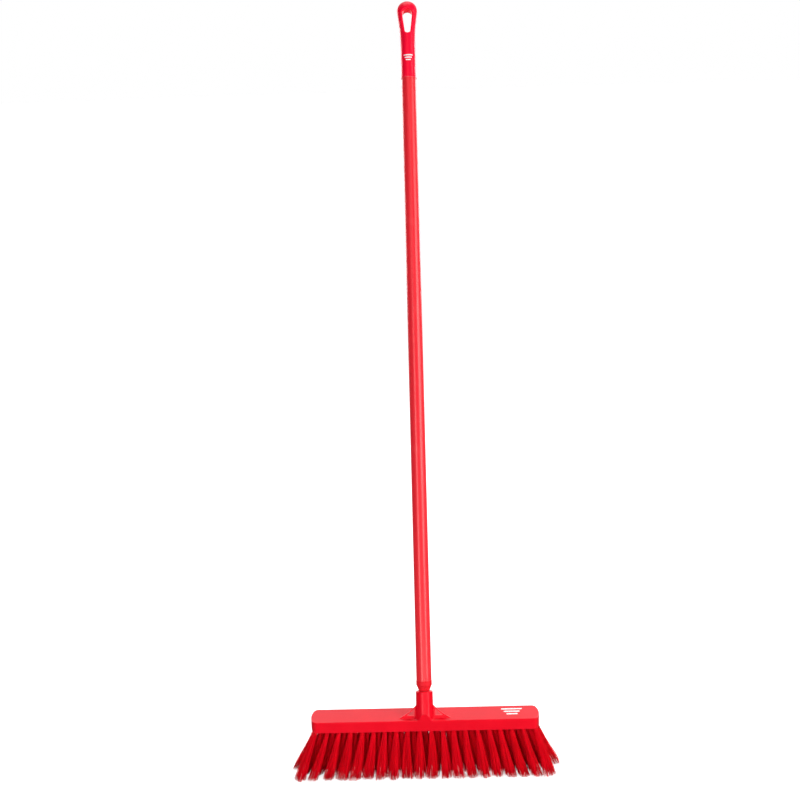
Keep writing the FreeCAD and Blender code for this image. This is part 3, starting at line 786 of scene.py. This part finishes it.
def bristleRow(number, settings):
    # real filaments in place of a row's plain bundles, in split clumps that open to the floor
    nodeName = f"tuft_row_{number}"
    dice = random.Random(settings["seed"] + number)
    rowLow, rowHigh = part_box(nodeName)
    sides, rings = settings["sides"], settings["rings"]
    verts, faces = [], []
    bundles = bundleEnds(nodeName, settings["rootGap"])
    for i, ((root, rootRadius), (tip, tipRadius)) in enumerate(bundles):
        if number == 1 and i < len(settings["endSplay"]):
            tip.x += settings["endSplay"][i]
        tuftBow = flatThrow(dice, settings["tuftBend"])
        tuftHook = flatThrow(dice, settings["tuftBend"]) * settings["tipBend"]
        clumps = []
        for j in range(settings["clumps"]):
            turn = 2 * math.pi * (j + dice.random() * settings["clumpJitter"]) / settings["clumps"]
            clumpShift = flatWay(turn) * dice.gauss(0, settings["clumpShift"])
            clumps.append((turn, clumpShift, dice.uniform(0, settings["clumpLift"])))
        for _ in range(settings["perTuft"]):
            turn, share = dice.uniform(0, 2 * math.pi), math.sqrt(dice.random())
            way = flatWay(turn) * share
            _, clumpShift, clumpLift = min(clumps, key=lambda clump: turnApart(clump[0], turn))
            start = way * rootRadius * settings["rootFill"]
            shift = way * tipRadius * settings["tipFill"] + clumpShift * share
            shift += flatThrow(dice, settings["wander"])
            if dice.random() < settings["strayShare"]:
                shift += flatThrow(dice, settings["strayShift"])
            lift = clumpLift + abs(dice.gauss(0, settings["tipSpread"])) * settings["unevenTips"]
            thick = settings["thickness"] / 2 * dice.uniform(*settings["thinToThick"])
            turnStart = dice.uniform(0, 2 * math.pi)
            bow = way * dice.gauss(*settings["bow"]) + tuftBow
            first = len(verts)
            for ring in range(rings):
                t = ring / (rings - 1)
                opened = t ** settings["openingCurve"]
                middle = root.lerp(tip, t) + start * (1 - opened) + shift * opened
                middle += bow * math.sin(math.pi * t) + tuftHook * t * t
                middle.z = root.z + (tip.z + lift - root.z) * t
                radius = thick * (1 - settings["thinnerAtTip"] * t)
                for side in range(sides):
                    corner = middle + flatWay(turnStart + 2 * math.pi * side / sides) * radius
                    x = min(max(corner.x, cadBox[0][0]), cadBox[1][0])
                    y = min(max(corner.y, rowLow[1]), rowHigh[1])
                    verts.append((x, y, max(corner.z, rowLow[2])))
            for ring in range(rings - 1):
                for side in range(sides):
                    a = first + ring * sides + side
                    b = first + ring * sides + (side + 1) % sides
                    faces.append((a, a + sides, b + sides, b))
            last = first + (rings - 1) * sides
            faces.append(tuple(range(first, first + sides)))
            faces.append(tuple(range(last + sides - 1, last - 1, -1)))
    mesh = bpy.data.meshes.new(f"bristleRow{number}")
    mesh.from_pydata(verts, [], faces)
    mesh.polygons.foreach_set("use_smooth", [len(face) == 4 for face in faces])
    mesh.materials.append(bristleRed)
    row = bpy.data.objects.new(f"bristleRow{number}", mesh)
    scene.collection.objects.link(row)
    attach(row, "head")
    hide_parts(nodeName)
    return len(mesh.polygons)


filamentFaces = [bristleRow(number, bristles) for number in range(1, 6)]
print("bristle rows planted, faces", filamentFaces)


barMesh = {
    "columns": 28,
    "lines": 8,
    "bluntness": 0.02,  # keeps the round ends from closing to a point
    "castFrom": 0.03,  # the bar is dropped on the surface from this height
    "sunk": 0.00003,
}


def printedBar(name, nodeName, centre, upward, facing, size, body):
    # a thin bar of ink with round ends, laid on a node's surface
    source = cadNodes[nodeName].data
    corners = [v.co for v in source.vertices]
    surface = BVHTree.FromPolygons(corners, [p.vertices for p in source.polygons])
    length, height, thickness = size
    columns, lines = barMesh["columns"], barMesh["lines"]
    straight = (length - height) / 2
    verts, faces = [], []
    for layer in (0, 1):
        for i in range(columns + 1):
            along = (2 * i / columns - 1) * length / 2
            past = max(0, abs(along) - straight) / (height / 2)
            half = height / 2 * math.sqrt(max(barMesh["bluntness"], 1 - past * past))
            for j in range(lines + 1):
                spot = centre + sideways * along + upward * (2 * j / lines - 1) * half
                hit, normal, _, _ = surface.ray_cast(spot + facing * barMesh["castFrom"], -facing)
                verts.append(hit + normal * (thickness * layer - barMesh["sunk"]))
    row = lines + 1
    offset = row * (columns + 1)
    for i in range(columns):
        for j in range(lines):
            a = i * row + j
            faces.append((a, a + 1, a + row + 1, a + row))
            faces.append((offset + a, offset + a + row, offset + a + row + 1, offset + a + 1))
    border = [(i * row, (i + 1) * row) for i in range(columns)]
    border += [(columns * row + j, columns * row + j + 1) for j in range(lines)]
    border += [((i + 1) * row + lines, i * row + lines) for i in reversed(range(columns))]
    border += [(j + 1, j) for j in reversed(range(lines))]
    faces += [(a, b, b + offset, a + offset) for a, b in border]
    mesh = bpy.data.meshes.new(name)
    mesh.from_pydata(verts, [], faces)
    mesh.polygons.foreach_set("use_smooth", [True] * len(faces))
    mesh.materials.append(whiteInk)
    bar = bpy.data.objects.new(name, mesh)
    scene.collection.objects.link(bar)
    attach(bar, body)


def topOnHandle(nodeName):
    # where a node of the handle ends, on the handle's middle line
    reach = max(v.co.dot(handleAxis) for v in cadNodes[nodeName].data.vertices)
    return rimCentre + handleAxis * (reach - rimCentre.dot(handleAxis))


blockMark = {
    "centre": (0.181, 0.004, 0.119),
    "lengths": (0.044, 0.034, 0.024),
    "barHeight": 0.0052,
    "barPitch": 0.0105,
    "ink": 0.0002,
}
for i, length in enumerate(blockMark["lengths"]):
    centre = Vector(blockMark["centre"]) + backwards * blockMark["barPitch"] * (1 - i)
    size = (length, blockMark["barHeight"], blockMark["ink"])
    name = f"blockMarkBar{i + 1}"
    printedBar(name, "broom_block", centre, backwards, upwards, size, "head")

gripMark = {
    "drop": 0.1295,
    "lengths": (0.020, 0.0155, 0.011),
    "barHeight": 0.0026,
    "barPitch": 0.0052,
    "ink": 0.00015,
}
gripTop = topOnHandle("hanger_grip")
for i, length in enumerate(gripMark["lengths"]):
    centre = gripTop - handleAxis * (gripMark["drop"] - gripMark["barPitch"] * (1 - i))
    size = (length, gripMark["barHeight"], gripMark["ink"])
    name = f"gripMarkBar{i + 1}"
    printedBar(name, "hanger_grip", centre, handleAxis, handleFront, size, "handle")
print("plain marks printed")


# paler plastic for the seam bead, a painted highlight along the seam
seamHighlightLook = {
    "deepColour": (0.80, 0.050, 0.070),
    "brightColour": (0.88, 0.080, 0.100),
    "rubbedAndHighlitEdgeColour": (0.92, 0.16, 0.17),
    "cloudScale": 90,
    "edgeWidth": 0.0004,
    "grainScale": 1800,
    "grainStrength": 0.15,
    "scratchStretch": (1, 1, 1),
    "scratchStrength": 0.1,
    "glossiest": 0.22,
    "dullest": 0.34,
    "reflection": 0.6,
    "sheen": (1, 0.8, 0.75),
}
seam = {"radius": 0.0167, "proud": 0.0003, "halfHeight": 0.0006, "around": 96, "across": 8}


def seamHighlightRing(settings):
    # a thin pale bead where the grip meets the sleeve: a painted highlight in place of light
    # caught by the grip's rounded foot
    middle = topOnHandle("handle_sleeve")
    around, across = settings["around"], settings["across"]
    total = around * across
    verts, faces = [], []
    for i in range(around):
        turn = 2 * math.pi * i / around
        out = sideways * math.cos(turn) + handleFront * math.sin(turn)
        for j in range(across):
            bead = 2 * math.pi * j / across
            reach = settings["radius"] + settings["proud"] * math.cos(bead)
            rise = settings["halfHeight"] * math.sin(bead)
            verts.append(middle + out * reach + handleAxis * rise)
            a = i * across + j
            b = i * across + (j + 1) % across
            faces.append((a, b, (b + across) % total, (a + across) % total))
    mesh = bpy.data.meshes.new("seamHighlightRing")
    mesh.from_pydata(verts, [], faces)
    mesh.polygons.foreach_set("use_smooth", [True] * len(faces))
    mesh.materials.append(mouldedPlastic("paleSeamHighlightPlastic", seamHighlightLook))
    ring = bpy.data.objects.new("seamHighlightRing", mesh)
    scene.collection.objects.link(ring)
    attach(ring, "handle")


seamHighlightRing(seam)
print("seam ring set")


def paleFloor(look):
    # a smooth painted studio floor, lifted to clean white only where it is seen directly
    material = bpy.data.materials.new("paleFloor")
    material.use_nodes = True
    nodes, links = material.node_tree.nodes, material.node_tree.links
    nodes.clear()

    paintFrame = nodes.new("NodeFrame")
    paintFrame.label = "Paint: faint patches of two near whites"
    glowFrame = nodes.new("NodeFrame")
    glowFrame.label = "Glow: clean white where the floor is seen"

    place = nodes.new("ShaderNodeTexCoord")
    place.label = "Place on the floor"
    place.location = (-1000, 0)
    patches = nodes.new("ShaderNodeTexNoise")
    patches.label = "Faint patches"
    patches.location = (-750, 100)
    patches.parent = paintFrame
    paint = nodes.new("ShaderNodeValToRGB")
    paint.label = "Two near whites"
    paint.location = (-500, 100)
    paint.parent = paintFrame
    seenFloor = nodes.new("ShaderNodeLightPath")
    seenFloor.label = "Floor where it is seen directly"
    seenFloor.location = (-750, -300)
    seenFloor.parent = glowFrame
    cleanWhite = nodes.new("ShaderNodeMath")
    cleanWhite.label = "Lift to clean white"
    cleanWhite.location = (-500, -300)
    cleanWhite.parent = glowFrame
    floorPaint = nodes.new("ShaderNodeBsdfPrincipled")
    floorPaint.label = "Floor paint"
    floorPaint.location = (-150, 0)
    output = nodes.new("ShaderNodeOutputMaterial")
    output.label = "Finished floor"
    output.location = (200, 0)

    patches.inputs["Scale"].default_value = 0.6
    paint.color_ramp.elements[0].color = (*look["deepWhite"], 1)
    paint.color_ramp.elements[1].color = (*look["paleWhite"], 1)
    cleanWhite.operation = "MULTIPLY"
    cleanWhite.inputs[1].default_value = look["glow"]
    floorPaint.inputs["Roughness"].default_value = 0.7
    floorPaint.inputs["Specular IOR Level"].default_value = 0.2
    floorPaint.inputs["Emission Color"].default_value = (1, 1, 1, 1)

    links.new(place.outputs["Object"], patches.inputs["Vector"])
    links.new(patches.outputs["Fac"], paint.inputs["Fac"])
    links.new(paint.outputs["Color"], floorPaint.inputs["Base Color"])
    links.new(seenFloor.outputs["Is Camera Ray"], cleanWhite.inputs[0])
    links.new(cleanWhite.outputs["Value"], floorPaint.inputs["Emission Strength"])
    links.new(floorPaint.outputs["BSDF"], output.inputs["Surface"])
    return material


floorLook = {
    "radius": 60,
    "rimSides": 64,
    "deepWhite": (0.52, 0.52, 0.52),
    "paleWhite": (0.56, 0.56, 0.56),
    "glow": 0.80,
}
rimTurns = [2 * math.pi * i / floorLook["rimSides"] for i in range(floorLook["rimSides"])]
floorRim = [flatWay(turn) * floorLook["radius"] for turn in rimTurns]
floorMesh = bpy.data.meshes.new("studioFloor")
floorMesh.from_pydata(floorRim, [], [tuple(range(len(floorRim)))])
floorMesh.materials.append(paleFloor(floorLook))
studioFloor = bpy.data.objects.new("studioFloor", floorMesh)
scene.collection.objects.link(studioFloor)
studioFloor.visible_glossy = False
print("floor laid")

# soft boxes, each placed by its turn from straight in front, its height and how far away it stands
lightSetup = {
    "lowFill": {
        "turn": 4, "height": 0.45, "away": 1.9,
        "size": (1.8, 0.4), "power": 8, "aim": "head",
    },
    "rightBox": {
        "turn": 72, "height": 1.9, "away": 2.6,
        "size": (1.5, 2.0), "power": 38, "aim": "handle",
    },
    "leftStrip": {
        "turn": -29, "height": 1.2, "away": 2.9,
        "size": (0.62, 2.2), "power": 42, "aim": "handle",
    },
    "rightStrip": {
        "turn": 53, "height": 1.2, "away": 2.7,
        "size": (0.62, 2.2), "power": 42, "aim": "handle",
    },
    "frontFill": {
        "turn": -8, "height": 3.4, "away": 2.6,
        "size": (2.4, 1.2), "power": 12, "aim": "handle",
    },
    "topBox": {
        "turn": 180, "height": 3.6, "away": 0.8,
        "size": (1.6, 1.6), "power": 22, "aim": "handle",
    },
    "backLeft": {
        "turn": -146, "height": 1.5, "away": 3.0,
        "size": (1.2, 1.8), "power": 34, "aim": "handle",
    },
    "backRight": {
        "turn": 146, "height": 1.5, "away": 3.0,
        "size": (1.2, 1.8), "power": 34, "aim": "handle",
    },
}
lightAims = {"head": Vector((0, 0, 0.06)), "handle": Vector((0, 0.12, 0.6))}
for name, box in lightSetup.items():
    lamp = bpy.data.lights.new(name, "AREA")
    lamp.shape = "RECTANGLE"
    lamp.size, lamp.size_y = box["size"]
    lamp.energy = box["power"]
    turn = math.radians(box["turn"])
    outwards = (sideways * math.sin(turn) - backwards * math.cos(turn)) * box["away"]
    place = outwards + upwards * box["height"]
    light = bpy.data.objects.new(name, lamp)
    light.location = place
    light.rotation_euler = (lightAims[box["aim"]] - place).to_track_quat("-Z", "Y").to_euler()
    light.visible_camera = False
    scene.collection.objects.link(light)
print("soft boxes hung", len(lightSetup))

roomLook = {
    "brightest": (0, 0.88, 0.475),  # the way in which the room is brightest
    "fadesAt": 0.45,
    "fullAt": 0.95,
    "dim": 0.06,
    "bright": 1.2,
}
world = bpy.data.worlds.new("paleStudio")
scene.world = world
world.use_nodes = True
skyNodes, skyLinks = world.node_tree.nodes, world.node_tree.links
skyNodes.clear()

roomFrame = skyNodes.new("NodeFrame")
roomFrame.label = "Room: what lights the broom and shows in its gloss"
backdropFrame = skyNodes.new("NodeFrame")
backdropFrame.label = "Backdrop: what is seen behind the broom"

direction = skyNodes.new("ShaderNodeTexCoord")
direction.label = "Which way the room is seen"
direction.location = (-900, -100)
direction.parent = roomFrame
towards = skyNodes.new("ShaderNodeVectorMath")
towards.label = "How nearly up behind the broom"
towards.location = (-700, -100)
towards.parent = roomFrame
wall = skyNodes.new("ShaderNodeMapRange")
wall.label = "Bright backdrop, dim room"
wall.location = (-500, -100)
wall.parent = roomFrame
room = skyNodes.new("ShaderNodeBackground")
room.label = "Light from the room"
room.location = (-250, -100)
room.parent = roomFrame
seen = skyNodes.new("ShaderNodeLightPath")
seen.label = "Backdrop where it is seen directly"
seen.location = (-250, 550)
seen.parent = backdropFrame
backdrop = skyNodes.new("ShaderNodeBackground")
backdrop.label = "Plain pale backdrop"
backdrop.location = (-250, 150)
backdrop.parent = backdropFrame
mixRoom = skyNodes.new("ShaderNodeMixShader")
mixRoom.label = "Backdrop to the eye, room to the broom"
mixRoom.location = (50, 0)
skyOutput = skyNodes.new("ShaderNodeOutputWorld")
skyOutput.label = "Finished studio"
skyOutput.location = (250, 0)

towards.operation = "DOT_PRODUCT"
towards.inputs[1].default_value = roomLook["brightest"]
wall.inputs["From Min"].default_value = roomLook["fadesAt"]
wall.inputs["From Max"].default_value = roomLook["fullAt"]
wall.inputs["To Min"].default_value = roomLook["dim"]
wall.inputs["To Max"].default_value = roomLook["bright"]
room.inputs["Color"].default_value = (1, 1, 1, 1)
backdrop.inputs["Color"].default_value = (1, 1, 1, 1)

skyLinks.new(direction.outputs["Generated"], towards.inputs[0])
skyLinks.new(towards.outputs["Value"], wall.inputs["Value"])
skyLinks.new(wall.outputs["Result"], room.inputs["Strength"])
skyLinks.new(seen.outputs["Is Camera Ray"], mixRoom.inputs["Fac"])
skyLinks.new(room.outputs["Background"], mixRoom.inputs[1])
skyLinks.new(backdrop.outputs["Background"], mixRoom.inputs[2])
skyLinks.new(mixRoom.outputs["Shader"], skyOutput.inputs["Surface"])
scene.view_settings.view_transform = "Standard"
print("room lit")

cameraSetup = {
    "place": (0.0136, -2.4396, 1.4402),
    "heading": 1.067,
    "tilt": -14.765,
    "roll": -1.746,
    "lens": 58.19,
}
cameraData = bpy.data.cameras.new("camera")
cameraData.lens = cameraSetup["lens"]
camera = bpy.data.objects.new("camera", cameraData)
camera.location = cameraSetup["place"]
heading = Matrix.Rotation(math.radians(cameraSetup["heading"]), 4, "Z")
tilt = Matrix.Rotation(math.radians(90 + cameraSetup["tilt"]), 4, "X")
roll = Matrix.Rotation(math.radians(cameraSetup["roll"]), 4, "Z")
camera.rotation_euler = (heading @ tilt @ roll).to_euler()
scene.collection.objects.link(camera)
scene.camera = camera
print("camera set")
